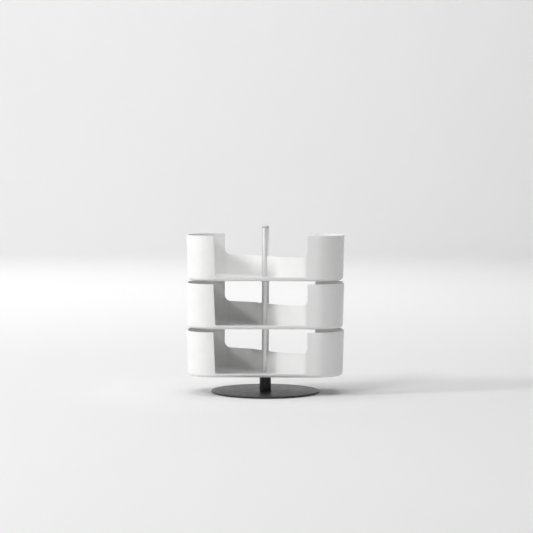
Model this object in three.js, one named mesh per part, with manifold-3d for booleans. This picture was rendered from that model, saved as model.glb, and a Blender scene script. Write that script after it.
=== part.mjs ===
// Three-tier swivelling holder: a round plate, a steel rod and three identical oval trays that turn on it.
// Millimetres, +Z up. The origin is on the surface it stands on, in the middle of the base.
// The front faces -Y, and the trays lie lengthwise along X.
import * as THREE from "three";
import { mergeVertices } from "three/addons/utils/BufferGeometryUtils.js";
import Module from "manifold-3d";

const wasm = await Module();
wasm.setup();

// Base
const BASE_RADIUS = 75;
const BASE_THICKNESS = 2;
const BASE_EDGE_CHAMFER = 0.3;
const FOOT_HEIGHT = 1.1;
const FOOT_RADIUS = 6;
const FOOT_CHAMFER = 0.3;
const FOOT_CIRCLE_RADIUS = 62;
const FOOT_COUNT = 4;

// Rod, its collar and its cap
const ROD_RADIUS = 5;
const ROD_TOP = 232;
const CAP_HEIGHT = 2.6;
const CAP_STEM_RADIUS = 2.5;
const CAP_STEM_LENGTH = 8;
const HOLE_SPARE_DEPTH = 2;
const DRILL_POINT = 1;
const COLLAR_TOP_RADIUS = 7.75;
const COLLAR_FOOT_RADIUS = 8.15;
const COLLAR_TOP_CHAMFER = 0.4;

// Screws
const BASE_SCREW_RADIUS = 2;
const BASE_SCREW_HEAD_RADIUS = 4;
const BASE_SCREW_LENGTH = 16;
const BASE_SCREW_SOCKET_RADIUS = 1.45;
const BASE_SCREW_SOCKET_DEPTH = 1.4;
const BASE_SCREW_CLEARANCE = 0.3;
const SET_SCREW_RADIUS = 2;
const SET_SCREW_LENGTH = 2.6;
const SET_SCREW_SOCKET_RADIUS = 1;
const SET_SCREW_HEIGHT = 12;

// Trays
const TRAY_HALF_LENGTH = 109;
const TRAY_HALF_DEPTH = 51;
const TRAY_CORNER_RADIUS = 40;
const TRAY_HEIGHT = 62;
const FIRST_TRAY_Z = 25.8;
const TRAY_PITCH = 66;
const DRAFT = THREE.MathUtils.degToRad(1.6);
const WALL = 2;
const FLOOR = 2.5;
const OUTER_BOTTOM_RADIUS = 5;
const INNER_BOTTOM_RADIUS = 3;
const LIP_HEIGHT = 5.6;
const HALF_WALL_HEIGHT = 32.4;

// The opening in each long side: a leaning edge at one end, a step up from the half-height wall at the other
const CUT_X_AT_RIM = 71;
const CUT_X_AT_LIP = 68.4;
const CUT_CORNER_RADIUS = 2.5;
const STEP_X = 57.5;
const STEP_FILLET = 8.5;

// The diagonal wall, in plan: through the axis, round an easy knee, then a tighter bend onto the long side
const KNEE_X = 18.5;
const KNEE_Y = 27.5;
const KNEE_REACH = 7;
const BEND_X = 54.5;
const BEND_REACH = 4;
const MERGE_X = 62;
const MERGE_PROUD = 0.2;

// Bushes, washers and rings
const BUSH_BARREL_RADIUS = 7;
const BUSH_FLANGE_RADIUS = 10;
const BUSH_FLANGE = 0.8;
const WASHER_RADIUS = 9;
const WASHER_THICKNESS = 0.5;
const RING_RADIUS = 8.2;
const RING_THICKNESS = 1;
const RING_RELIEF = 1;
const RING_MOUTH_DEGREES = 35;
const RING_STEP_DEGREES = 10;
const GROOVE_RADIUS = 4;
const GROOVE_WIDTH = 1.2;

// Gaps between neighbouring pieces
const SEAT_GAP = 0.1;
const PRESS_GAP = 0.05;
const RUNNING_GAP = 0.1;
const WALL_TO_ROD_GAP = 0.4;

// How far a cutting body runs past what it cuts
const OVERRUN = 2;

// Facets round a full turn, and along one bend
const PLATE_FACETS = 96;
const ROUND_FACETS = 32;
const CORNER_STEPS = 10;
const FILLET_STEPS = 4;
const BEND_STEPS = 7;
const HEXAGON = 6;

const PLATE_TOP = FOOT_HEIGHT + BASE_THICKNESS;

// How far the underside of a slip washer, and of a retaining ring, lies below the underside of its tray
const WASHER_DROP = SEAT_GAP + BUSH_FLANGE + SEAT_GAP + WASHER_THICKNESS;
const RING_DROP = WASHER_DROP + SEAT_GAP + RING_THICKNESS;

// The collar carries the bottom tray's washer
const COLLAR_TOP = FIRST_TRAY_Z - WASHER_DROP - SEAT_GAP;

const steel = { color: 0xc9cacb, roughness: 0.32, metalness: 1 };
const darkCoat = { color: 0x2a2a2b, roughness: 0.4, metalness: 0.2 };
const blackPlastic = { color: 0x1b1b1c, roughness: 0.5, metalness: 0 };
const blackRubber = { color: 0x161616, roughness: 0.85, metalness: 0 };
const whitePlastic = { color: 0xf4f4f3, roughness: 0.42, metalness: 0 };
const nylon = { color: 0xe6e3da, roughness: 0.6, metalness: 0 };
const springSteel = { color: 0x55565a, roughness: 0.4, metalness: 1 };
const zincSteel = { color: 0xa9abae, roughness: 0.35, metalness: 1 };

// ---- helpers -------------------------------------------------------------------------------------------

function solid(geometry) {
  const bare = geometry.clone();
  bare.deleteAttribute("normal");
  bare.deleteAttribute("uv");
  const merged = mergeVertices(bare, 1e-4);
  return new wasm.Manifold(new wasm.Mesh({
    numProp: 3,
    vertProperties: Float32Array.from(merged.attributes.position.array),
    triVerts: Uint32Array.from(merged.index.array),
  }));
}

function geometryOf(manifold) {
  const mesh = manifold.getMesh();
  const geometry = new THREE.BufferGeometry();
  geometry.setAttribute("position", new THREE.BufferAttribute(mesh.vertProperties, 3));
  geometry.setIndex(new THREE.BufferAttribute(mesh.triVerts, 1));
  geometry.computeVertexNormals();
  return geometry;
}

function part(name, geometry, finish) {
  const mesh = new THREE.Mesh(geometry, new THREE.MeshStandardMaterial(finish));
  mesh.name = name;
  return mesh;
}

// Turns a list of [radius, height] points about Z. The list starts and ends on the axis, or closes on itself.
function turned(profile, facets = ROUND_FACETS) {
  const points = profile.map(([radius, height]) => new THREE.Vector2(radius, height));
  const geometry = new THREE.LatheGeometry(points, facets);
  geometry.rotateX(Math.PI / 2);
  return geometry;
}

// A flat ring between two radii, from z to z + height.
function washer(innerRadius, outerRadius, z, height) {
  return turned([
    [innerRadius, z],
    [outerRadius, z],
    [outerRadius, z + height],
    [innerRadius, z + height],
    [innerRadius, z],
  ]);
}

function rod(radius, fromZ, toZ, facets = ROUND_FACETS) {
  const geometry = new THREE.CylinderGeometry(radius, radius, toZ - fromZ, facets);
  geometry.rotateX(Math.PI / 2);
  geometry.translate(0, 0, (fromZ + toZ) / 2);
  return geometry;
}

// Joins equal rings of points into one closed skin. capOutline is the outline of a ring, laid flat.
function skin(rings, capOutline) {
  const count = capOutline.length;
  const index = [];
  for (let ring = 0; ring < rings.length - 1; ring += 1) {
    for (let i = 0; i < count; i += 1) {
      const here = ring * count + i;
      const next = ring * count + ((i + 1) % count);
      index.push(here, next, next + count, here, next + count, here + count);
    }
  }
  const last = (rings.length - 1) * count;
  for (const [i, j, k] of THREE.ShapeUtils.triangulateShape(capOutline, [])) {
    index.push(k, j, i, last + i, last + j, last + k);
  }
  const geometry = new THREE.BufferGeometry();
  geometry.setAttribute("position", new THREE.Float32BufferAttribute(rings.flat(2), 3));
  geometry.setIndex(index);
  return geometry;
}

// ---- tray ----------------------------------------------------------------------------------------------

function draftInset(z) {
  return (TRAY_HEIGHT - z) * Math.tan(DRAFT);
}

// The tray's oval outline, drawn in by inset: straight sides joined by four round corners, counterclockwise.
function ovalRing(inset, z) {
  const cornerX = TRAY_HALF_LENGTH - TRAY_CORNER_RADIUS;
  const cornerY = TRAY_HALF_DEPTH - TRAY_CORNER_RADIUS;
  const radius = TRAY_CORNER_RADIUS - inset;
  const ring = [];
  for (const [signX, signY, startAngle] of [[1, -1, -90], [1, 1, 0], [-1, 1, 90], [-1, -1, 180]]) {
    for (let step = 0; step <= CORNER_STEPS; step += 1) {
      const angle = THREE.MathUtils.degToRad(startAngle + (90 * step) / CORNER_STEPS);
      ring.push([signX * cornerX + radius * Math.cos(angle), signY * cornerY + radius * Math.sin(angle), z]);
    }
  }
  return ring;
}

// A drafted oval body with a rounded bottom edge: the outside of the tray, or the hollow inside it.
function ovalBody(inset, bottomZ, bottomRadius, topZ) {
  const rings = [];
  for (let step = 0; step <= FILLET_STEPS; step += 1) {
    const angle = (Math.PI / 2) * (step / FILLET_STEPS);
    const z = bottomZ + bottomRadius * (1 - Math.cos(angle));
    rings.push(ovalRing(inset + draftInset(z) + bottomRadius * (1 - Math.sin(angle)), z));
  }
  rings.push(ovalRing(inset + draftInset(topZ), topZ));
  return skin(rings, rings[0].map(([x, y]) => new THREE.Vector2(x, y)));
}

// What is cut out of the front long side, drawn in X and Z. Its left edge leans, and its right edge is where
// the diagonal wall has become the long side.
function openingShape() {
  const above = TRAY_HEIGHT + OVERRUN;
  const lean = (CUT_X_AT_RIM - CUT_X_AT_LIP) / (TRAY_HEIGHT - LIP_HEIGHT);
  const cutX = (z) => -(CUT_X_AT_LIP + lean * (z - LIP_HEIGHT));
  const shape = new THREE.Shape();
  shape.moveTo(cutX(above), above);
  shape.lineTo(cutX(LIP_HEIGHT + CUT_CORNER_RADIUS), LIP_HEIGHT + CUT_CORNER_RADIUS);
  shape.quadraticCurveTo(-CUT_X_AT_LIP, LIP_HEIGHT, -CUT_X_AT_LIP + CUT_CORNER_RADIUS, LIP_HEIGHT);
  shape.lineTo(BEND_X + BEND_REACH, LIP_HEIGHT);
  shape.lineTo(BEND_X + BEND_REACH, above);
  shape.closePath();
  return shape;
}

// What is cut away above the half-height wall: a wide notch with a fillet in each bottom corner.
function saddleShape() {
  const above = TRAY_HEIGHT + OVERRUN;
  const filletX = STEP_X - STEP_FILLET;
  const filletZ = HALF_WALL_HEIGHT + STEP_FILLET;
  const shape = new THREE.Shape();
  shape.moveTo(-STEP_X, above);
  shape.lineTo(-STEP_X, filletZ);
  shape.absarc(-filletX, filletZ, STEP_FILLET, Math.PI, 1.5 * Math.PI, false);
  shape.absarc(filletX, filletZ, STEP_FILLET, -0.5 * Math.PI, 0, false);
  shape.lineTo(STEP_X, above);
  shape.closePath();
  return shape;
}

// Pushes a shape drawn in X and Z along Y, from fromY to toY.
function pushedAlongY(shape, fromY, toY) {
  const geometry = new THREE.ExtrudeGeometry(shape, {
    depth: toY - fromY,
    bevelEnabled: false,
    curveSegments: BEND_STEPS,
  });
  geometry.rotateX(Math.PI / 2);
  geometry.translate(0, toY, 0);
  return geometry;
}

// The diagonal wall's centre line from the back left to the front right, at the rim.
function dividerCentreLine() {
  const sideY = TRAY_HALF_DEPTH - WALL / 2 + MERGE_PROUD;
  const knee = new THREE.Vector2(-KNEE_X, KNEE_Y);
  const bend = new THREE.Vector2(-BEND_X, sideY);
  const along = bend.clone().sub(knee).normalize();
  const inward = knee.clone().normalize();
  const half = new THREE.Path();
  half.moveTo(-MERGE_X, sideY);
  half.lineTo(-BEND_X - BEND_REACH, sideY);
  const bendEnd = bend.clone().addScaledVector(along, -BEND_REACH);
  half.quadraticCurveTo(bend.x, bend.y, bendEnd.x, bendEnd.y);
  const kneeStart = knee.clone().addScaledVector(along, KNEE_REACH);
  const kneeEnd = knee.clone().addScaledVector(inward, -KNEE_REACH);
  half.lineTo(kneeStart.x, kneeStart.y);
  half.quadraticCurveTo(knee.x, knee.y, kneeEnd.x, kneeEnd.y);
  const points = half.getPoints(BEND_STEPS);
  const mirrored = points.map((point) => point.clone().negate()).reverse();
  return [...points, ...mirrored];
}

// The wall's section, [across, height]: a straight blade that flares into the floor with a fillet each side.
function dividerSection() {
  const half = WALL / 2;
  const right = [[half + INNER_BOTTOM_RADIUS, FLOOR / 2]];
  for (let step = 0; step <= FILLET_STEPS; step += 1) {
    const angle = (Math.PI / 2) * (step / FILLET_STEPS);
    right.push([
      half + INNER_BOTTOM_RADIUS * (1 - Math.sin(angle)),
      FLOOR + INNER_BOTTOM_RADIUS * (1 - Math.cos(angle)),
    ]);
  }
  right.push([half, TRAY_HEIGHT + OVERRUN]);
  const left = right.map(([across, height]) => [-across, height]).reverse();
  return [...right, ...left];
}

// The section carried along the centre line. Towards the floor it closes in on the axis, as the drafted
// walls do.
function divider() {
  const line = dividerCentreLine();
  const section = dividerSection();
  const rings = line.map((point, i) => {
    const before = line[Math.max(i - 1, 0)];
    const after = line[Math.min(i + 1, line.length - 1)];
    const heading = after.clone().sub(before).normalize();
    return section.map(([across, height]) => {
      const narrowed = (TRAY_HALF_DEPTH - draftInset(height)) / TRAY_HALF_DEPTH;
      const x = point.x - heading.y * across;
      const y = (point.y + heading.x * across) * narrowed;
      return [x, y, height];
    });
  });
  return skin(rings, section.map(([across, height]) => new THREE.Vector2(across, height)));
}

function trayGeometry() {
  const outside = solid(ovalBody(0, 0, OUTER_BOTTOM_RADIUS, TRAY_HEIGHT));
  const hollow = solid(ovalBody(WALL, FLOOR, INNER_BOTTOM_RADIUS, TRAY_HEIGHT + OVERRUN));
  const reach = TRAY_HALF_DEPTH + OVERRUN;
  const frontOpening = pushedAlongY(openingShape(), -reach, -reach / 2);
  const backOpening = frontOpening.clone().rotateZ(Math.PI);
  const pan = outside.subtract(hollow).subtract(solid(frontOpening)).subtract(solid(backOpening));
  const blade = solid(divider()).intersect(outside);
  const bushSeat = rod(BUSH_BARREL_RADIUS + PRESS_GAP, -OVERRUN, FLOOR + SEAT_GAP);
  const rodSlot = rod(ROD_RADIUS + WALL_TO_ROD_GAP, FLOOR / 2, TRAY_HEIGHT);
  const tray = pan
    .add(blade)
    .subtract(solid(pushedAlongY(saddleShape(), -reach, reach)))
    .subtract(solid(bushSeat))
    .subtract(solid(rodSlot));
  return geometryOf(tray);
}

// ---- what a tray turns on ------------------------------------------------------------------------------

// A flanged bush, its flange under the tray's floor and its barrel flush with the floor's top. z = 0 is the
// tray's underside.
function bushGeometry() {
  const bore = ROD_RADIUS + RUNNING_GAP;
  const flangeTop = -SEAT_GAP;
  return turned([
    [bore, flangeTop - BUSH_FLANGE],
    [BUSH_FLANGE_RADIUS, flangeTop - BUSH_FLANGE],
    [BUSH_FLANGE_RADIUS, flangeTop],
    [BUSH_BARREL_RADIUS, flangeTop],
    [BUSH_BARREL_RADIUS, FLOOR],
    [bore, FLOOR],
    [bore, flangeTop - BUSH_FLANGE],
  ]);
}

// An E-ring: open on one side, with three lugs that reach into the rod's groove. It lies with its underside
// at z = 0.
function retainingRingGeometry() {
  const lugRadius = GROOVE_RADIUS + SEAT_GAP;
  const reliefRadius = ROD_RADIUS + RING_RELIEF;
  const mouth = RING_MOUTH_DEGREES;
  const step = RING_STEP_DEGREES;
  const lugMiddles = [mouth + step, 180, 360 - mouth - step];
  const isLug = (degrees) => lugMiddles.some((middle) => Math.abs(degrees - middle) <= 1.5 * step);
  const at = (radius, degrees) => {
    const angle = THREE.MathUtils.degToRad(degrees);
    return new THREE.Vector2(radius * Math.cos(angle), radius * Math.sin(angle));
  };
  const outline = [];
  for (let degrees = mouth; degrees <= 360 - mouth; degrees += step) {
    outline.push(at(RING_RADIUS, degrees));
  }
  for (let degrees = 360 - mouth; degrees >= mouth; degrees -= step) {
    outline.push(at(isLug(degrees) ? lugRadius : reliefRadius, degrees));
  }
  return new THREE.ExtrudeGeometry(new THREE.Shape(outline), { depth: RING_THICKNESS, bevelEnabled: false });
}

// ---- base and rod --------------------------------------------------------------------------------------

// A round plate with a countersunk hole in the middle.
function basePlateGeometry() {
  const hole = BASE_SCREW_RADIUS + BASE_SCREW_CLEARANCE;
  const sink = BASE_SCREW_HEAD_RADIUS + BASE_SCREW_CLEARANCE;
  return turned([
    [sink, FOOT_HEIGHT],
    [BASE_RADIUS - BASE_EDGE_CHAMFER, FOOT_HEIGHT],
    [BASE_RADIUS, FOOT_HEIGHT + BASE_EDGE_CHAMFER],
    [BASE_RADIUS, PLATE_TOP - BASE_EDGE_CHAMFER],
    [BASE_RADIUS - BASE_EDGE_CHAMFER, PLATE_TOP],
    [hole, PLATE_TOP],
    [sink, FOOT_HEIGHT],
  ], PLATE_FACETS);
}

function footGeometry() {
  return turned([
    [0, 0],
    [FOOT_RADIUS - FOOT_CHAMFER, 0],
    [FOOT_RADIUS, FOOT_CHAMFER],
    [FOOT_RADIUS, FOOT_HEIGHT - SEAT_GAP],
    [0, FOOT_HEIGHT - SEAT_GAP],
  ]);
}

// A countersunk screw, head down, with a hexagon socket. It reaches up through the plate into the rod.
function baseScrewGeometry() {
  const socketTop = FOOT_HEIGHT + BASE_SCREW_SOCKET_DEPTH;
  const body = turned([
    [0, FOOT_HEIGHT],
    [BASE_SCREW_HEAD_RADIUS, FOOT_HEIGHT],
    [BASE_SCREW_RADIUS, PLATE_TOP],
    [BASE_SCREW_RADIUS, FOOT_HEIGHT + BASE_SCREW_LENGTH],
    [0, FOOT_HEIGHT + BASE_SCREW_LENGTH],
  ]);
  const socket = rod(BASE_SCREW_SOCKET_RADIUS, FOOT_HEIGHT - OVERRUN, socketTop, HEXAGON);
  return geometryOf(solid(body).subtract(solid(socket)));
}

// The rod: a screw hole in its foot, a groove for each retaining ring, and a blind hole for the cap's stem.
function rodGeometry() {
  const foot = PLATE_TOP + SEAT_GAP;
  const top = ROD_TOP - CAP_HEIGHT - SEAT_GAP;
  const screwHole = BASE_SCREW_RADIUS + SEAT_GAP;
  const screwHoleTop = FOOT_HEIGHT + BASE_SCREW_LENGTH + HOLE_SPARE_DEPTH;
  const stemHole = CAP_STEM_RADIUS + SEAT_GAP;
  const stemHoleFoot = top - CAP_STEM_LENGTH - HOLE_SPARE_DEPTH;
  const profile = [[0, screwHoleTop + DRILL_POINT], [screwHole, screwHoleTop]];
  profile.push([screwHole, foot], [ROD_RADIUS, foot]);
  for (const tray of [1, 2]) {
    const ringMiddle = FIRST_TRAY_Z + tray * TRAY_PITCH - RING_DROP + RING_THICKNESS / 2;
    const [low, high] = [ringMiddle - GROOVE_WIDTH / 2, ringMiddle + GROOVE_WIDTH / 2];
    profile.push([ROD_RADIUS, low], [GROOVE_RADIUS, low], [GROOVE_RADIUS, high], [ROD_RADIUS, high]);
  }
  profile.push([ROD_RADIUS, top], [stemHole, top], [stemHole, stemHoleFoot]);
  profile.push([0, stemHoleFoot - DRILL_POINT]);
  return turned(profile);
}

// The cap: a stem in the rod's blind hole under a low domed head as wide as the rod.
function capGeometry() {
  const seat = ROD_TOP - CAP_HEIGHT;
  const rim = seat + CAP_HEIGHT / 2;
  const stemFoot = seat - CAP_STEM_LENGTH;
  const profile = [[0, stemFoot], [CAP_STEM_RADIUS, stemFoot], [CAP_STEM_RADIUS, seat]];
  profile.push([ROD_RADIUS, seat]);
  for (let step = 0; step < FILLET_STEPS; step += 1) {
    const angle = (Math.PI / 2) * (step / FILLET_STEPS);
    profile.push([ROD_RADIUS * Math.cos(angle) ** 0.5, rim + (ROD_TOP - rim) * Math.sin(angle)]);
  }
  profile.push([0, ROD_TOP]);
  return turned(profile);
}

function collarGeometry() {
  const bore = ROD_RADIUS + RUNNING_GAP;
  const foot = PLATE_TOP + SEAT_GAP;
  const tube = turned([
    [bore, foot],
    [COLLAR_FOOT_RADIUS, foot],
    [COLLAR_TOP_RADIUS, COLLAR_TOP - COLLAR_TOP_CHAMFER],
    [COLLAR_TOP_RADIUS - COLLAR_TOP_CHAMFER, COLLAR_TOP],
    [bore, COLLAR_TOP],
    [bore, foot],
  ]);
  const screwHole = rod(SET_SCREW_RADIUS + PRESS_GAP, 0, COLLAR_FOOT_RADIUS * 2, ROUND_FACETS / 2);
  screwHole.rotateX(-Math.PI / 2);
  screwHole.translate(0, 0, SET_SCREW_HEIGHT);
  return geometryOf(solid(tube).subtract(solid(screwHole)));
}

// A grub screw at the back of the collar, its point against the rod, with a hexagon socket outside.
function setScrewGeometry() {
  const start = ROD_RADIUS + RUNNING_GAP;
  const end = start + SET_SCREW_LENGTH;
  const body = rod(SET_SCREW_RADIUS, start, end, ROUND_FACETS / 2);
  const socket = rod(SET_SCREW_SOCKET_RADIUS, (start + end) / 2, end + OVERRUN, HEXAGON);
  const geometry = geometryOf(solid(body).subtract(solid(socket)));
  geometry.rotateX(-Math.PI / 2);
  geometry.translate(0, 0, SET_SCREW_HEIGHT);
  return geometry;
}

// ---- assembly ------------------------------------------------------------------------------------------

const holder = new THREE.Group();

holder.add(part("base_plate", basePlateGeometry(), darkCoat));
for (let i = 0; i < FOOT_COUNT; i += 1) {
  const angle = (2 * Math.PI * (i + 0.5)) / FOOT_COUNT;
  const foot = part(`rubber_foot_${i + 1}`, footGeometry(), blackRubber);
  foot.position.set(FOOT_CIRCLE_RADIUS * Math.cos(angle), FOOT_CIRCLE_RADIUS * Math.sin(angle), 0);
  holder.add(foot);
}
holder.add(part("base_screw", baseScrewGeometry(), zincSteel));
holder.add(part("rod_collar", collarGeometry(), blackPlastic));
holder.add(part("collar_set_screw", setScrewGeometry(), springSteel));
holder.add(part("center_rod", rodGeometry(), steel));
holder.add(part("rod_end_cap", capGeometry(), steel));

for (const [level, place] of ["bottom", "middle", "top"].entries()) {
  const tier = new THREE.Group();
  tier.position.z = FIRST_TRAY_Z + level * TRAY_PITCH;
  tier.add(part(`tray_${place}`, trayGeometry(), whitePlastic));
  tier.add(part(`bush_${place}`, bushGeometry(), nylon));
  const slip = washer(ROD_RADIUS + 2 * RUNNING_GAP, WASHER_RADIUS, -WASHER_DROP, WASHER_THICKNESS);
  tier.add(part(`thrust_washer_${place}`, slip, nylon));
  if (level > 0) {
    const ring = part(`retaining_ring_${place}`, retainingRingGeometry(), springSteel);
    ring.position.z = -RING_DROP;
    tier.add(ring);
  }
  holder.add(tier);
}

export default holder;
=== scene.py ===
import math

import bmesh
import bpy
from mathutils import Matrix, Vector


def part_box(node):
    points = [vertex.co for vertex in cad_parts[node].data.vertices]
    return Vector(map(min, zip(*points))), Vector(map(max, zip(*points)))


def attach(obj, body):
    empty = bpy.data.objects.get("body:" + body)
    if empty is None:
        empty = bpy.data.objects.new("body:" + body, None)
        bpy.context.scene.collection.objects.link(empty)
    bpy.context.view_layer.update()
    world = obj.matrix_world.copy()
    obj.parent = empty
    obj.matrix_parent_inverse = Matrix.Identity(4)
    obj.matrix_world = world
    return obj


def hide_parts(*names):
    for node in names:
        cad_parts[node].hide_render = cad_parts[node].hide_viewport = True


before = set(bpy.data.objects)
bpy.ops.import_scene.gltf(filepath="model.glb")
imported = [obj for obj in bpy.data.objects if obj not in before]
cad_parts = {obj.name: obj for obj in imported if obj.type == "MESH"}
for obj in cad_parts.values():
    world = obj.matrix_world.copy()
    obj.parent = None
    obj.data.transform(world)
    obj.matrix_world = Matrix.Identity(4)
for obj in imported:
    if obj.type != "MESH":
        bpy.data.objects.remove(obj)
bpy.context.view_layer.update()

PLACES = ("bottom", "middle", "top")

# ---- sizes ------------------------------------------------------------------------------------------------


def mm(value):
    return value / 1000


def box_mm(node):
    low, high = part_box(node)
    return low * 1000, high * 1000


# The tray's oval pan
TRAY_LOW, TRAY_HIGH = box_mm("tray_bottom")
HALF_LENGTH = TRAY_HIGH.x
HALF_DEPTH = TRAY_HIGH.y
TRAY_HEIGHT = TRAY_HIGH.z - TRAY_LOW.z
CORNER_RADIUS = 40
DRAFT = math.radians(1.6)
WALL = 2
FLOOR = 2.5
OUTER_BOTTOM_RADIUS = 5
INNER_BOTTOM_RADIUS = 3
LIP_HEIGHT = 5.6
HALF_WALL_HEIGHT = 32.4

# The opening in each long side, and the step down to the half-height wall
CUT_X_AT_RIM = 71
CUT_X_AT_LIP = 68.4
CUT_CORNER_RADIUS = 2.5
STEP_X = 57.5
STEP_FILLET = 8.5

# The S-shaped wall in plan: its knee near the rod, its bend at the long side, and where it joins that side
KNEE_X = 18.5
KNEE_Y = 27.5
KNEE_REACH = 7
BEND_X = 54.5
BEND_REACH = 4
MERGE_X = 62
MERGE_PROUD = 0.2

# The parts round the rod, and the gaps between them
BUSH_BARREL_RADIUS = 7
BUSH_FLANGE = 0.8
COLLAR_TAPER = 0.4
COLLAR_CHAMFER = 0.4
SCREW_HOLE_RADIUS = 2.3
COUNTERSINK_RADIUS = 4.3
BASE_SCREW_SHANK_RADIUS = 2
BASE_SCREW_SOCKET_RADIUS = 1.45
BASE_SCREW_SOCKET_DEPTH = 1.4
SET_SCREW_SOCKET_RADIUS = 1
HEXAGON = 6
FOOT_COUNT = 4
FOOT_EDGE = 0.3
GROOVE_DEPTH = 1
RING_RADIUS = 8.2
RING_LUG_RADIUS = 4.1
RING_RELIEF_RADIUS = 6
RING_MOUTH_DEGREES = 35
RING_STEP_DEGREES = 5
RING_LUG_HALF_DEGREES = 10
ROD_RADIUS = 5
PRESS_GAP = 0.05
SEAT_GAP = 0.1
WALL_TO_ROD_GAP = 0.4
OVERRUN = 2

# How finely the round stretches are divided
CORNER_STEPS = 40
FILLET_STEPS = 8
BEND_STEPS = 14
ROUND_STEPS = 128
PLATE_STEPS = 256

# The rounding of edges
EDGE_RADIUS = 0.45
SMALL_EDGE = 0.1
EDGE_ANGLE = math.radians(32)
EDGE_SEGMENTS = 3
SAME_POINT = 0.002

# ---- mesh helpers -----------------------------------------------------------------------------------------


def mesh_object(name, vertices, faces):
    mesh = bpy.data.meshes.new(name)
    mesh.from_pydata([tuple(mm(c) for c in v) for v in vertices], [], faces)
    mesh.validate()
    piece = bpy.data.objects.new(name, mesh)
    bpy.context.scene.collection.objects.link(piece)
    return piece


def skin(name, rings):
    """Equal rings of points joined into one closed skin."""
    count = len(rings[0])
    faces = []
    for ring in range(len(rings) - 1):
        for i in range(count):
            here = ring * count + i
            after = ring * count + (i + 1) % count
            faces.append((here, after, after + count, here + count))
    last = (len(rings) - 1) * count
    faces.append(tuple(reversed(range(count))))
    faces.append(tuple(range(last, last + count)))
    return mesh_object(name, [v for ring in rings for v in ring], faces)


def turned(name, profile, steps=ROUND_STEPS):
    """Points of (radius, height) turned about Z. A solid's profile is a loop, or both its ends are on Z."""
    closed = profile[0] == profile[-1]
    points = profile[:-1] if closed else profile
    vertices = []
    rows = []
    for radius, height in points:
        if radius == 0:
            rows.append([len(vertices)] * steps)
            vertices.append((0, 0, height))
            continue
        start = len(vertices)
        for i in range(steps):
            angle = 2 * math.pi * i / steps
            vertices.append((radius * math.cos(angle), radius * math.sin(angle), height))
        rows.append(list(range(start, start + steps)))
    pairs = list(zip(rows, rows[1:]))
    if closed:
        pairs.append((rows[-1], rows[0]))
    faces = []
    for low, high in pairs:
        for i in range(steps):
            j = (i + 1) % steps
            corners = [low[i], low[j], high[j], high[i]]
            faces.append(tuple(dict.fromkeys(corners)))
    return mesh_object(name, vertices, faces)


def arc(centre_r, centre_z, radius, start, end, steps=6):
    """Points of a quarter or other arc in a turned profile, in degrees."""
    points = []
    for i in range(steps + 1):
        angle = math.radians(start + (end - start) * i / steps)
        points.append((centre_r + radius * math.cos(angle), centre_z + radius * math.sin(angle)))
    return points


def pushed_along_y(name, outline, from_y, to_y):
    """An outline of (x, z) points made into a prism along Y."""
    return skin(name, [[(x, y, z) for x, z in outline] for y in (to_y, from_y)])


def check_closed(mesh, step):
    """Stops the script if a boolean step has lost the body, or left it open."""
    work = bmesh.new()
    work.from_mesh(mesh)
    open_edges = sum(not edge.is_manifold for edge in work.edges)
    volume = work.calc_volume()
    work.free()
    if volume <= 0 or open_edges:
        raise RuntimeError(f"{step}: volume {volume}, {open_edges} open edges, {len(mesh.polygons)} faces")


def combine(piece, tool, operation):
    """Joins or cuts piece with tool, and uses tool up."""
    modifier = piece.modifiers.new("combine", "BOOLEAN")
    modifier.operation = operation
    modifier.object = tool
    modifier.solver = "EXACT"
    evaluated = piece.evaluated_get(bpy.context.evaluated_depsgraph_get())
    mesh = bpy.data.meshes.new_from_object(evaluated)
    check_closed(mesh, f"{piece.name} {operation} {tool.name}")
    piece.modifiers.clear()
    piece.data = mesh
    bpy.data.objects.remove(tool)


def smooth(piece, edge_radius):
    """Shades a piece smoothly and rounds its sharp edges."""
    for polygon in piece.data.polygons:
        polygon.use_smooth = True
    if edge_radius:
        edge = piece.modifiers.new("edges", "BEVEL")
        edge.limit_method = "ANGLE"
        edge.angle_limit = EDGE_ANGLE
        edge.width = mm(edge_radius)
        edge.segments = EDGE_SEGMENTS
        edge.harden_normals = True
    piece.modifiers.new("normals", "WEIGHTED_NORMAL").keep_sharp = True


def outward(piece):
    """Joins points that lie together and turns every face outwards."""
    work = bmesh.new()
    work.from_mesh(piece.data)
    bmesh.ops.remove_doubles(work, verts=work.verts, dist=mm(SAME_POINT))
    bmesh.ops.recalc_face_normals(work, faces=work.faces)
    work.to_mesh(piece.data)
    work.free()


# ---- tray -------------------------------------------------------------------------------------------------


def draft_inset(z):
    """How far the leaning sides have come in at height z, measured from the rim."""
    return (TRAY_HEIGHT - z) * math.tan(DRAFT)


def oval_ring(inset, z):
    radius = CORNER_RADIUS - inset
    ring = []
    for sign_x, sign_y, start in ((1, -1, -90), (1, 1, 0), (-1, 1, 90), (-1, -1, 180)):
        for step in range(CORNER_STEPS + 1):
            angle = math.radians(start + 90 * step / CORNER_STEPS)
            x = sign_x * (HALF_LENGTH - CORNER_RADIUS) + radius * math.cos(angle)
            y = sign_y * (HALF_DEPTH - CORNER_RADIUS) + radius * math.sin(angle)
            ring.append((x, y, z))
    return ring


def oval_body(name, inset, bottom_z, bottom_radius, top_z):
    """An oval body with a rounded bottom edge and sides that lean out towards the rim."""
    rings = []
    for step in range(FILLET_STEPS + 1):
        angle = math.pi / 2 * step / FILLET_STEPS
        z = bottom_z + bottom_radius * (1 - math.cos(angle))
        rings.append(oval_ring(inset + draft_inset(z) + bottom_radius * (1 - math.sin(angle)), z))
    rings.append(oval_ring(inset + draft_inset(top_z), top_z))
    return skin(name, rings)


def curve(start, corner, end, steps):
    """A quadratic curve from start to end, pulled towards corner."""
    points = []
    for i in range(steps + 1):
        t = i / steps
        points.append(start * (1 - t) ** 2 + corner * 2 * t * (1 - t) + end * t * t)
    return points


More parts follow.
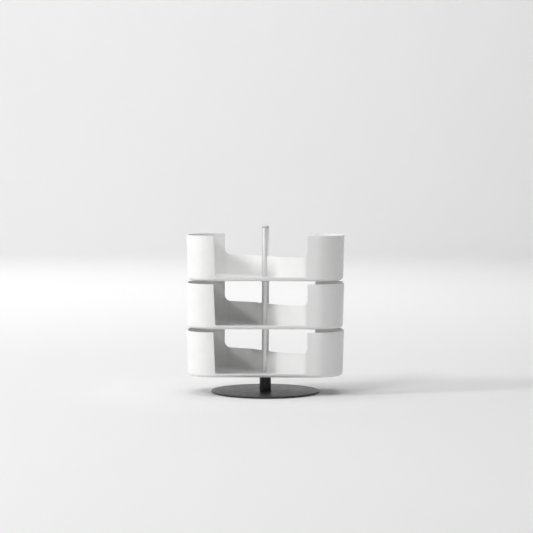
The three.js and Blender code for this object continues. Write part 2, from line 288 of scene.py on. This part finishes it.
def opening_outline():
    """The opening in the front side, in X and Z: a leaning left edge with a rounded lower corner."""
    above = TRAY_HEIGHT + OVERRUN
    lean = (CUT_X_AT_RIM - CUT_X_AT_LIP) / (TRAY_HEIGHT - LIP_HEIGHT)
    corner_top = LIP_HEIGHT + CUT_CORNER_RADIUS
    side_x = -CUT_X_AT_LIP - lean * CUT_CORNER_RADIUS
    corner = curve(
        Vector((side_x, corner_top)),
        Vector((-CUT_X_AT_LIP, LIP_HEIGHT)),
        Vector((-CUT_X_AT_LIP + CUT_CORNER_RADIUS, LIP_HEIGHT)),
        FILLET_STEPS,
    )
    top_x = -CUT_X_AT_LIP - lean * (above - LIP_HEIGHT)
    end_x = BEND_X + BEND_REACH
    return [(top_x, above), *[tuple(p) for p in corner], (end_x, LIP_HEIGHT), (end_x, above)]


def saddle_outline():
    """What is cut away above the half-height wall, in X and Z."""
    above = TRAY_HEIGHT + OVERRUN
    centre_x = STEP_X - STEP_FILLET
    centre_z = HALF_WALL_HEIGHT + STEP_FILLET
    left = arc(-centre_x, centre_z, STEP_FILLET, 180, 270, BEND_STEPS)
    right = arc(centre_x, centre_z, STEP_FILLET, 270, 360, BEND_STEPS)
    return [(-STEP_X, above), *left, *right, (STEP_X, above)]


def divider_centre_line():
    """The S-shaped wall in plan: the left half, then the same points turned through 180 degrees."""
    side_y = HALF_DEPTH - WALL / 2 + MERGE_PROUD
    knee = Vector((-KNEE_X, KNEE_Y))
    bend = Vector((-BEND_X, side_y))
    along = (bend - knee).normalized()
    inward = knee.normalized()
    half = [Vector((-MERGE_X, side_y))]
    half += curve(bend - Vector((BEND_REACH, 0)), bend, bend - along * BEND_REACH, BEND_STEPS)
    half += curve(knee + along * KNEE_REACH, knee, knee - inward * KNEE_REACH, BEND_STEPS)
    return half + [-point for point in reversed(half)]


def divider_section():
    """Points of (across, height): a straight blade that flares into the floor with a fillet each side."""
    half = WALL / 2
    right = [(half + INNER_BOTTOM_RADIUS, FLOOR / 2)]
    for step in range(FILLET_STEPS + 1):
        angle = math.pi / 2 * step / FILLET_STEPS
        across = half + INNER_BOTTOM_RADIUS * (1 - math.sin(angle))
        right.append((across, FLOOR + INNER_BOTTOM_RADIUS * (1 - math.cos(angle))))
    right.append((half, TRAY_HEIGHT + OVERRUN))
    return right + [(-across, height) for across, height in reversed(right)]


def divider():
    """The section carried along the centre line, closing in on the axis with the draft of the sides."""
    line = divider_centre_line()
    rings = []
    for i, point in enumerate(line):
        heading = (line[min(i + 1, len(line) - 1)] - line[max(i - 1, 0)]).normalized()
        ring = []
        for across, height in divider_section():
            narrowed = (HALF_DEPTH - draft_inset(height)) / HALF_DEPTH
            y = (point.y + heading.x * across) * narrowed
            ring.append((point.x - heading.y * across, y, height))
        rings.append(ring)
    return skin("divider", rings)


def cylinder(radius, low, high):
    return turned("cutter", [(0, low), (radius, low), (radius, high), (0, high)])


def stepped_bore():
    """The bush's seat in the floor, and above it the slot that lets the rod through the wall."""
    seat = BUSH_BARREL_RADIUS + PRESS_GAP
    slot = ROD_RADIUS + WALL_TO_ROD_GAP
    step_z = FLOOR + SEAT_GAP
    profile = [(0, -OVERRUN), (seat, -OVERRUN), (seat, step_z)]
    profile += [(slot, step_z), (slot, TRAY_HEIGHT), (0, TRAY_HEIGHT)]
    return turned("bore", profile)


def fine_tray():
    """The tray, underside at z = 0: an oval pan, open front and back, with the S-shaped wall across it."""
    reach = HALF_DEPTH + OVERRUN
    opening = opening_outline()
    turned_opening = [(-x, z) for x, z in reversed(opening)]
    tray = oval_body("tray", 0, 0, OUTER_BOTTOM_RADIUS, TRAY_HEIGHT)
    hollow = oval_body("hollow", WALL, FLOOR, INNER_BOTTOM_RADIUS, TRAY_HEIGHT + OVERRUN)
    blade = divider()
    outline = oval_body("outline", 0, 0, OUTER_BOTTOM_RADIUS, TRAY_HEIGHT)
    saddle = pushed_along_y("saddle", saddle_outline(), -reach, reach)
    front = pushed_along_y("front", opening, -reach, -reach / 2)
    back = pushed_along_y("back", turned_opening, reach / 2, reach)
    seat = cylinder(BUSH_BARREL_RADIUS + PRESS_GAP, -OVERRUN, FLOOR + OVERRUN)
    bore = stepped_bore()
    for piece in (tray, hollow, blade, outline, saddle, front, back, seat, bore):
        outward(piece)
    combine(blade, outline, "INTERSECT")
    for cutter in (saddle, bore):
        combine(blade, cutter, "DIFFERENCE")
    for cutter in (hollow, front, back, seat):
        combine(tray, cutter, "DIFFERENCE")
    combine(tray, blade, "UNION")
    return tray


# ---- materials --------------------------------------------------------------------------------------------

# The stretch of a noise's values, or of the pointiness, that is spread over a look's whole range
COLOUR_SPAN = (0.35, 0.65)
GLOSS_SPAN = (0.3, 0.7)
PATCH_SPAN = (0.42, 0.62)
EDGE_SPAN = (0.52, 0.62)

# How many times larger than the grain these patterns are
MOTTLE_TO_GRAIN = 40
GLOSS_TO_GRAIN = 25
WEAR_TO_GRAIN = 12

SCRATCH_SCALE = 1400
SCRATCH_BUMP = (0.12, mm(0.02))
ALONG_Z = (1, 1, 0.02)
EVENLY = (1, 1, 1)


class Nodes:
    """A material under construction: a Principled shader and the nodes that feed it."""

    def __init__(self, name, **constants):
        self.material = bpy.data.materials.new(name)
        self.material.use_nodes = True
        self.tree = self.material.node_tree
        self.shader = self.tree.nodes["Principled BSDF"]
        for socket, value in constants.items():
            self.shader.inputs[socket.replace("_", " ")].default_value = value
        self.place = self.tree.nodes.new("ShaderNodeTexCoord").outputs["Object"]

    def link(self, output, target):
        self.tree.links.new(output, target)

    def noise(self, scale, detail=3.0, stretch=(1, 1, 1)):
        mapping = self.tree.nodes.new("ShaderNodeMapping")
        mapping.inputs["Scale"].default_value = stretch
        self.link(self.place, mapping.inputs["Vector"])
        noise = self.tree.nodes.new("ShaderNodeTexNoise")
        noise.inputs["Scale"].default_value = scale
        noise.inputs["Detail"].default_value = detail
        self.link(mapping.outputs["Vector"], noise.inputs["Vector"])
        return noise.outputs["Fac"]

    def remap(self, value, low, high, to_low, to_high):
        node = self.tree.nodes.new("ShaderNodeMapRange")
        self.link(value, node.inputs["Value"])
        for socket, number in zip(("From Min", "From Max", "To Min", "To Max"), (low, high, to_low, to_high)):
            node.inputs[socket].default_value = number
        return node.outputs["Result"]

    def times(self, a, b):
        node = self.tree.nodes.new("ShaderNodeMath")
        node.operation = "MULTIPLY"
        self.link(a, node.inputs[0])
        self.link(b, node.inputs[1])
        return node.outputs[0]

    def mix(self, factor, a, b):
        node = self.tree.nodes.new("ShaderNodeMix")
        node.data_type = "RGBA"
        self.link(factor, node.inputs[0])
        for socket, value in ((node.inputs[6], a), (node.inputs[7], b)):
            if isinstance(value, tuple):
                socket.default_value = (*value, 1)
            else:
                self.link(value, socket)
        return node.outputs[2]

    def worn_edges(self, low, high, noise_scale):
        """A mask of the convex edges, broken up by noise."""
        pointed = self.tree.nodes.new("ShaderNodeNewGeometry").outputs["Pointiness"]
        edges = self.remap(pointed, low, high, 0, 1)
        patches = self.remap(self.noise(noise_scale), *PATCH_SPAN, 0, 1)
        return self.times(edges, patches)

    def bump(self, height, strength, distance):
        node = self.tree.nodes.new("ShaderNodeBump")
        node.inputs["Strength"].default_value = strength
        node.inputs["Distance"].default_value = distance
        self.link(height, node.inputs["Height"])
        self.link(node.outputs["Normal"], self.shader.inputs["Normal"])

    def colour(self, output):
        self.link(output, self.shader.inputs["Base Color"])

    def roughness(self, output):
        self.link(output, self.shader.inputs["Roughness"])


def speckled(name, dark, light, grain, rough, bump, worn=None, **constants):
    """Moulded or coated stuff: mottled colour, uneven gloss, a fine grain and perhaps worn edges."""
    nodes = Nodes(name, **constants)
    mottle = nodes.noise(grain / MOTTLE_TO_GRAIN)
    colour = nodes.mix(nodes.remap(mottle, *COLOUR_SPAN, 0, 1), dark, light)
    if worn:
        colour = nodes.mix(nodes.worn_edges(*EDGE_SPAN, grain / WEAR_TO_GRAIN), colour, worn)
    nodes.colour(colour)
    nodes.roughness(nodes.remap(nodes.noise(grain / GLOSS_TO_GRAIN, detail=5), *GLOSS_SPAN, *rough))
    nodes.bump(nodes.noise(grain), *bump)
    return nodes.material


def drawn_steel(name, dark, light, stretch, rough):
    """Bare steel with fine scratches, drawn out by the stretch."""
    nodes = Nodes(name, Metallic=1.0)
    streaks = nodes.noise(SCRATCH_SCALE, detail=4, stretch=stretch)
    nodes.colour(nodes.mix(nodes.remap(streaks, *COLOUR_SPAN, 0, 1), dark, light))
    nodes.roughness(nodes.remap(streaks, *GLOSS_SPAN, *rough))
    nodes.bump(streaks, *SCRATCH_BUMP)
    return nodes.material


# After its name each has a dark and a light colour. Speckled stuff then has the grain's noise scale, the
# lowest and highest roughness, and the grain's bump strength and height. Steel has the stretch of its
# scratches, and the lowest and highest roughness.
MATERIALS = {
    "tray": speckled(
        "white_plastic", (0.865, 0.865, 0.86), (0.89, 0.89, 0.885), 1800, (0.34, 0.46), (0.08, mm(0.02)),
    ),
    "plate": speckled(
        "black_coat", (0.032, 0.032, 0.0325), (0.047, 0.047, 0.048), 2600, (0.33, 0.45), (0.25, mm(0.02)),
        worn=(0.09, 0.09, 0.092),
    ),
    "collar": speckled(
        "black_plastic", (0.014, 0.014, 0.0145), (0.022, 0.022, 0.0225), 1800, (0.38, 0.5), (0.15, mm(0.02)),
        worn=(0.05, 0.05, 0.05),
    ),
    "foot": speckled(
        "black_rubber", (0.012, 0.012, 0.012), (0.024, 0.024, 0.024), 1600, (0.7, 0.9), (0.3, mm(0.03)),
    ),
    "bush": speckled("nylon", (0.7, 0.68, 0.62), (0.78, 0.76, 0.7), 1500, (0.45, 0.6), (0.1, mm(0.02))),
    "washer": speckled("acetal", (0.78, 0.78, 0.75), (0.84, 0.84, 0.82), 1500, (0.35, 0.5), (0.1, mm(0.02))),
    "rod": drawn_steel("drawn_rod", (0.84, 0.84, 0.845), (0.92, 0.92, 0.925), ALONG_Z, (0.42, 0.56)),
    "cap": drawn_steel("turned_cap", (0.5, 0.5, 0.505), (0.62, 0.62, 0.625), EVENLY, (0.3, 0.45)),
    "screw": drawn_steel("zinc", (0.55, 0.55, 0.57), (0.66, 0.66, 0.67), EVENLY, (0.28, 0.42)),
    "grub_screw": drawn_steel("black_oxide", (0.06, 0.06, 0.062), (0.12, 0.12, 0.122), EVENLY, (0.35, 0.5)),
    "ring": drawn_steel("spring_steel", (0.1, 0.1, 0.105), (0.2, 0.2, 0.205), EVENLY, (0.3, 0.45)),
}


def finish_piece(piece, node, slot, body, edge_radius=0):
    """Turns a fine piece's faces outwards, gives it its slot's material, shades it smoothly, hangs it on its
    body and hides the node that it stands for.
    """
    outward(piece)
    piece.data.materials.clear()
    piece.data.materials.append(MATERIALS[slot])
    smooth(piece, edge_radius)
    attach(piece, body)
    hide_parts(node)


# ---- the pieces -------------------------------------------------------------------------------------------


def add_trays():
    master = fine_tray()
    for place in PLACES:
        piece = bpy.data.objects.new(f"moulded_tray_{place}", master.data.copy())
        bpy.context.scene.collection.objects.link(piece)
        piece.location.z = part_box(f"tray_{place}")[0].z
        finish_piece(piece, f"tray_{place}", "tray", f"tier_{place}", EDGE_RADIUS)
    bpy.data.objects.remove(master)


def add_plate():
    low, high = box_mm("base_plate")
    radius = high.x
    edge = EDGE_RADIUS
    profile = [(COUNTERSINK_RADIUS, low.z)]
    profile += arc(radius - edge, low.z + edge, edge, -90, 0)
    profile += arc(radius - edge, high.z - edge, edge, 0, 90)
    profile += [(SCREW_HOLE_RADIUS, high.z), (COUNTERSINK_RADIUS, low.z)]
    piece = turned("coated_plate", profile, PLATE_STEPS)
    finish_piece(piece, "base_plate", "plate", "stand")


def add_feet():
    for number in range(1, FOOT_COUNT + 1):
        low, high = box_mm(f"rubber_foot_{number}")
        radius = (high.x - low.x) / 2
        rounded = arc(radius - FOOT_EDGE, FOOT_EDGE, FOOT_EDGE, -90, 0)
        profile = [(0, 0), *rounded, (radius, high.z), (0, high.z)]
        piece = turned(f"soft_foot_{number}", profile, ROUND_STEPS // 2)
        piece.location = (mm((low.x + high.x) / 2), mm((low.y + high.y) / 2), 0)
        finish_piece(piece, f"rubber_foot_{number}", "foot", "stand")


def add_rod_and_cap():
    low, high = box_mm("center_rod")
    radius = high.x
    profile = [(0, low.z), (radius, low.z)]
    for place in PLACES[1:]:
        ring_low, ring_high = box_mm(f"retaining_ring_{place}")
        groove_low = ring_low.z - SEAT_GAP
        groove_high = ring_high.z + SEAT_GAP
        profile += [(radius, groove_low), (radius - GROOVE_DEPTH, groove_low)]
        profile += [(radius - GROOVE_DEPTH, groove_high), (radius, groove_high)]
    profile += [(radius, high.z), (0, high.z)]
    finish_piece(turned("drawn_rod_piece", profile, ROUND_STEPS), "center_rod", "rod", "stand")
    seat = high.z + SEAT_GAP
    top = box_mm("rod_end_cap")[1].z
    rise = (top - seat) / 2
    dome = [(0, seat), (radius, seat), (radius, seat + rise)]
    for step in range(1, FILLET_STEPS):
        angle = math.pi / 2 * step / FILLET_STEPS
        dome.append((radius * math.sqrt(math.cos(angle)), seat + rise + rise * math.sin(angle)))
    dome.append((0, top))
    finish_piece(turned("rod_cap_piece", dome, ROUND_STEPS), "rod_end_cap", "cap", "stand")


def add_bushes_and_washers():
    for place in PLACES:
        low, high = box_mm(f"bush_{place}")
        flange = high.x
        bore = ROD_RADIUS + SEAT_GAP
        flange_top = low.z + BUSH_FLANGE
        profile = [(bore, low.z), (flange, low.z), (flange, flange_top), (BUSH_BARREL_RADIUS, flange_top)]
        profile += [(BUSH_BARREL_RADIUS, high.z), (bore, high.z), (bore, low.z)]
        piece = turned(f"nylon_bush_{place}", profile)
        finish_piece(piece, f"bush_{place}", "bush", f"tier_{place}", SMALL_EDGE)
        low, high = box_mm(f"thrust_washer_{place}")
        bore = ROD_RADIUS + 2 * SEAT_GAP
        profile = [(bore, low.z), (high.x, low.z), (high.x, high.z), (bore, high.z), (bore, low.z)]
        piece = turned(f"slip_washer_{place}", profile)
        finish_piece(piece, f"thrust_washer_{place}", "washer", "stand", SMALL_EDGE)


def add_collar():
    """The black collar, with the set screw's hole through its back."""
    low, high = box_mm("rod_collar")
    foot_radius = high.x
    bore = ROD_RADIUS + SEAT_GAP
    top_radius = foot_radius - COLLAR_TAPER
    profile = [(bore, low.z), (foot_radius, low.z), (top_radius, high.z - COLLAR_CHAMFER)]
    profile += [(top_radius - COLLAR_CHAMFER, high.z), (bore, high.z), (bore, low.z)]
    collar = turned("tapered_collar", profile)
    screw_low, screw_high = box_mm("collar_set_screw")
    hole = cylinder(screw_high.x + PRESS_GAP, 0, foot_radius + OVERRUN)
    hole.data.transform(Matrix.Rotation(-math.pi / 2, 4, "X"))
    hole.data.transform(Matrix.Translation((0, 0, mm((screw_low.z + screw_high.z) / 2))))
    for piece in (collar, hole):
        outward(piece)
    combine(collar, hole, "DIFFERENCE")
    finish_piece(collar, "rod_collar", "collar", "stand", SMALL_EDGE)


def socket_cutter(radius, low, high):
    return turned("socket", [(0, low), (radius, low), (radius, high), (0, high)], HEXAGON)


def add_screws():
    """The countersunk base screw, head down, and the set screw along Y. Each has a hexagon socket."""
    low, high = box_mm("base_screw")
    plate_top = box_mm("base_plate")[1].z
    profile = [(0, low.z), (high.x, low.z), (BASE_SCREW_SHANK_RADIUS, plate_top)]
    profile += [(BASE_SCREW_SHANK_RADIUS, high.z), (0, high.z)]
    screw = turned("countersunk_screw", profile)
    socket = socket_cutter(BASE_SCREW_SOCKET_RADIUS, low.z - OVERRUN, low.z + BASE_SCREW_SOCKET_DEPTH)
    for piece in (screw, socket):
        outward(piece)
    combine(screw, socket, "DIFFERENCE")
    finish_piece(screw, "base_screw", "screw", "stand", SMALL_EDGE)
    low, high = box_mm("collar_set_screw")
    start = low.y
    end = high.y
    screw = turned("hexagon_set_screw", [(0, start), (high.x, start), (high.x, end), (0, end)])
    socket = socket_cutter(SET_SCREW_SOCKET_RADIUS, (start + end) / 2, end + OVERRUN)
    for piece in (screw, socket):
        outward(piece)
    combine(screw, socket, "DIFFERENCE")
    screw.data.transform(Matrix.Rotation(-math.pi / 2, 4, "X"))
    screw.data.transform(Matrix.Translation((0, 0, mm((low.z + high.z) / 2))))
    finish_piece(screw, "collar_set_screw", "grub_screw", "stand", SMALL_EDGE)


def ring_outline():
    """An E-ring, open towards +X, with three lugs that reach in to the bottom of the rod's groove."""
    first = RING_MOUTH_DEGREES
    last = 360 - RING_MOUTH_DEGREES
    lugs = (first + RING_LUG_HALF_DEGREES, 180, last - RING_LUG_HALF_DEGREES)
    outline = []
    for degrees in range(first, last + 1, RING_STEP_DEGREES):
        outline.append((RING_RADIUS, degrees))
    for degrees in range(last, first - 1, -RING_STEP_DEGREES):
        in_lug = any(abs(degrees - lug) <= RING_LUG_HALF_DEGREES for lug in lugs)
        outline.append((RING_LUG_RADIUS if in_lug else RING_RELIEF_RADIUS, degrees))
    return [(r * math.cos(math.radians(a)), r * math.sin(math.radians(a))) for r, a in outline]


def add_rings():
    for place in PLACES[1:]:
        low, high = box_mm(f"retaining_ring_{place}")
        piece = skin(f"e_ring_{place}", [[(x, y, z) for x, y in ring_outline()] for z in (low.z, high.z)])
        finish_piece(piece, f"retaining_ring_{place}", "ring", "stand", SMALL_EDGE)


# ---- studio -----------------------------------------------------------------------------------------------

# The camera and the lights are in metres and watts, and the lens is in millimetres
CAMERA_DISTANCE = 2.545
CAMERA_HEIGHT = 0.313
CAMERA_SIDE = 0.0014
CAMERA_PITCH = math.radians(3.0925)
CAMERA_ROLL = math.radians(0.12)
CAMERA_LENS = 123.94

# The floor is drawn like the pieces, in millimetres
FLOOR_RADIUS = 4000
SWEEP_RADIUS = 1500
SWEEP_STEPS = 24
BACKDROP_TOP = 5500
PAPER_DARK = (0.8, 0.8, 0.8)
PAPER_LIGHT = (0.815, 0.815, 0.815)
PAPER_GRAIN = 3
PAPER_ROUGHNESS = 0.9

STAND_MIDDLE = 0.12
OVERHEAD_SIZE = 2.5
AMBIENT = 0.02


def add_camera():
    data = bpy.data.cameras.new("camera")
    data.lens = CAMERA_LENS
    camera = bpy.data.objects.new("camera", data)
    camera.location = (CAMERA_SIDE, -CAMERA_DISTANCE, CAMERA_HEIGHT)
    tilt = Matrix.Rotation(math.pi / 2 - CAMERA_PITCH, 3, "X")
    camera.rotation_euler = (tilt @ Matrix.Rotation(CAMERA_ROLL, 3, "Z")).to_euler()
    bpy.context.scene.collection.objects.link(camera)
    bpy.context.scene.camera = camera


def add_floor():
    """A flat round floor that sweeps up into a wall all the way round, far from the object."""
    bend = arc(FLOOR_RADIUS, SWEEP_RADIUS, SWEEP_RADIUS, -90, 0, SWEEP_STEPS)
    floor = turned("floor", [(0, 0), *bend, (FLOOR_RADIUS + SWEEP_RADIUS, BACKDROP_TOP)], ROUND_STEPS)
    for polygon in floor.data.polygons:
        polygon.use_smooth = True
    paper = Nodes("paper", Roughness=PAPER_ROUGHNESS)
    paper.colour(paper.mix(paper.noise(PAPER_GRAIN), PAPER_DARK, PAPER_LIGHT))
    floor.data.materials.append(paper.material)


def add_light(name, place, size, power, aim=(0, 0, STAND_MIDDLE)):
    """A square softbox turned towards its aim."""
    data = bpy.data.lights.new(name, "AREA")
    data.size = size
    data.energy = power
    light = bpy.data.objects.new(name, data)
    light.location = place
    direction = Vector(aim) - Vector(place)
    light.rotation_euler = direction.to_track_quat("-Z", "Y").to_euler()
    bpy.context.scene.collection.objects.link(light)


def around_left(distance, around, above):
    """A place to the left of the object, turned towards the front and raised, both in degrees."""
    turn = math.radians(around)
    rise = math.radians(above)
    flat = distance * math.cos(rise)
    return (-flat * math.cos(turn), -flat * math.sin(turn), STAND_MIDDLE + distance * math.sin(rise))


def add_studio_light():
    world = bpy.data.worlds.new("studio")
    bpy.context.scene.world = world
    world.use_nodes = True
    sky = world.node_tree.nodes["Background"]
    sky.inputs["Color"].default_value = (1, 1, 1, 1)
    sky.inputs["Strength"].default_value = AMBIENT
    add_light("key", around_left(3.5, 19, 25), 0.6, 46)
    add_light("front", around_left(3.2, 55, 43), 0.5, 19)
    add_light("over", (0, 0, 3.2), OVERHEAD_SIZE, 50)
    add_light("over_left", (-2.2, 0, 2.6), OVERHEAD_SIZE, 19)
    add_light("wall", (-0.9, 2.0, 3.2), OVERHEAD_SIZE, 98.5, aim=(-0.9, 5, 1.2))
    bpy.context.scene.view_settings.view_transform = "Standard"


add_camera()
add_floor()
add_studio_light()
add_trays()
add_plate()
add_feet()
add_rod_and_cap()
add_bushes_and_washers()
add_collar()
add_screws()
add_rings()
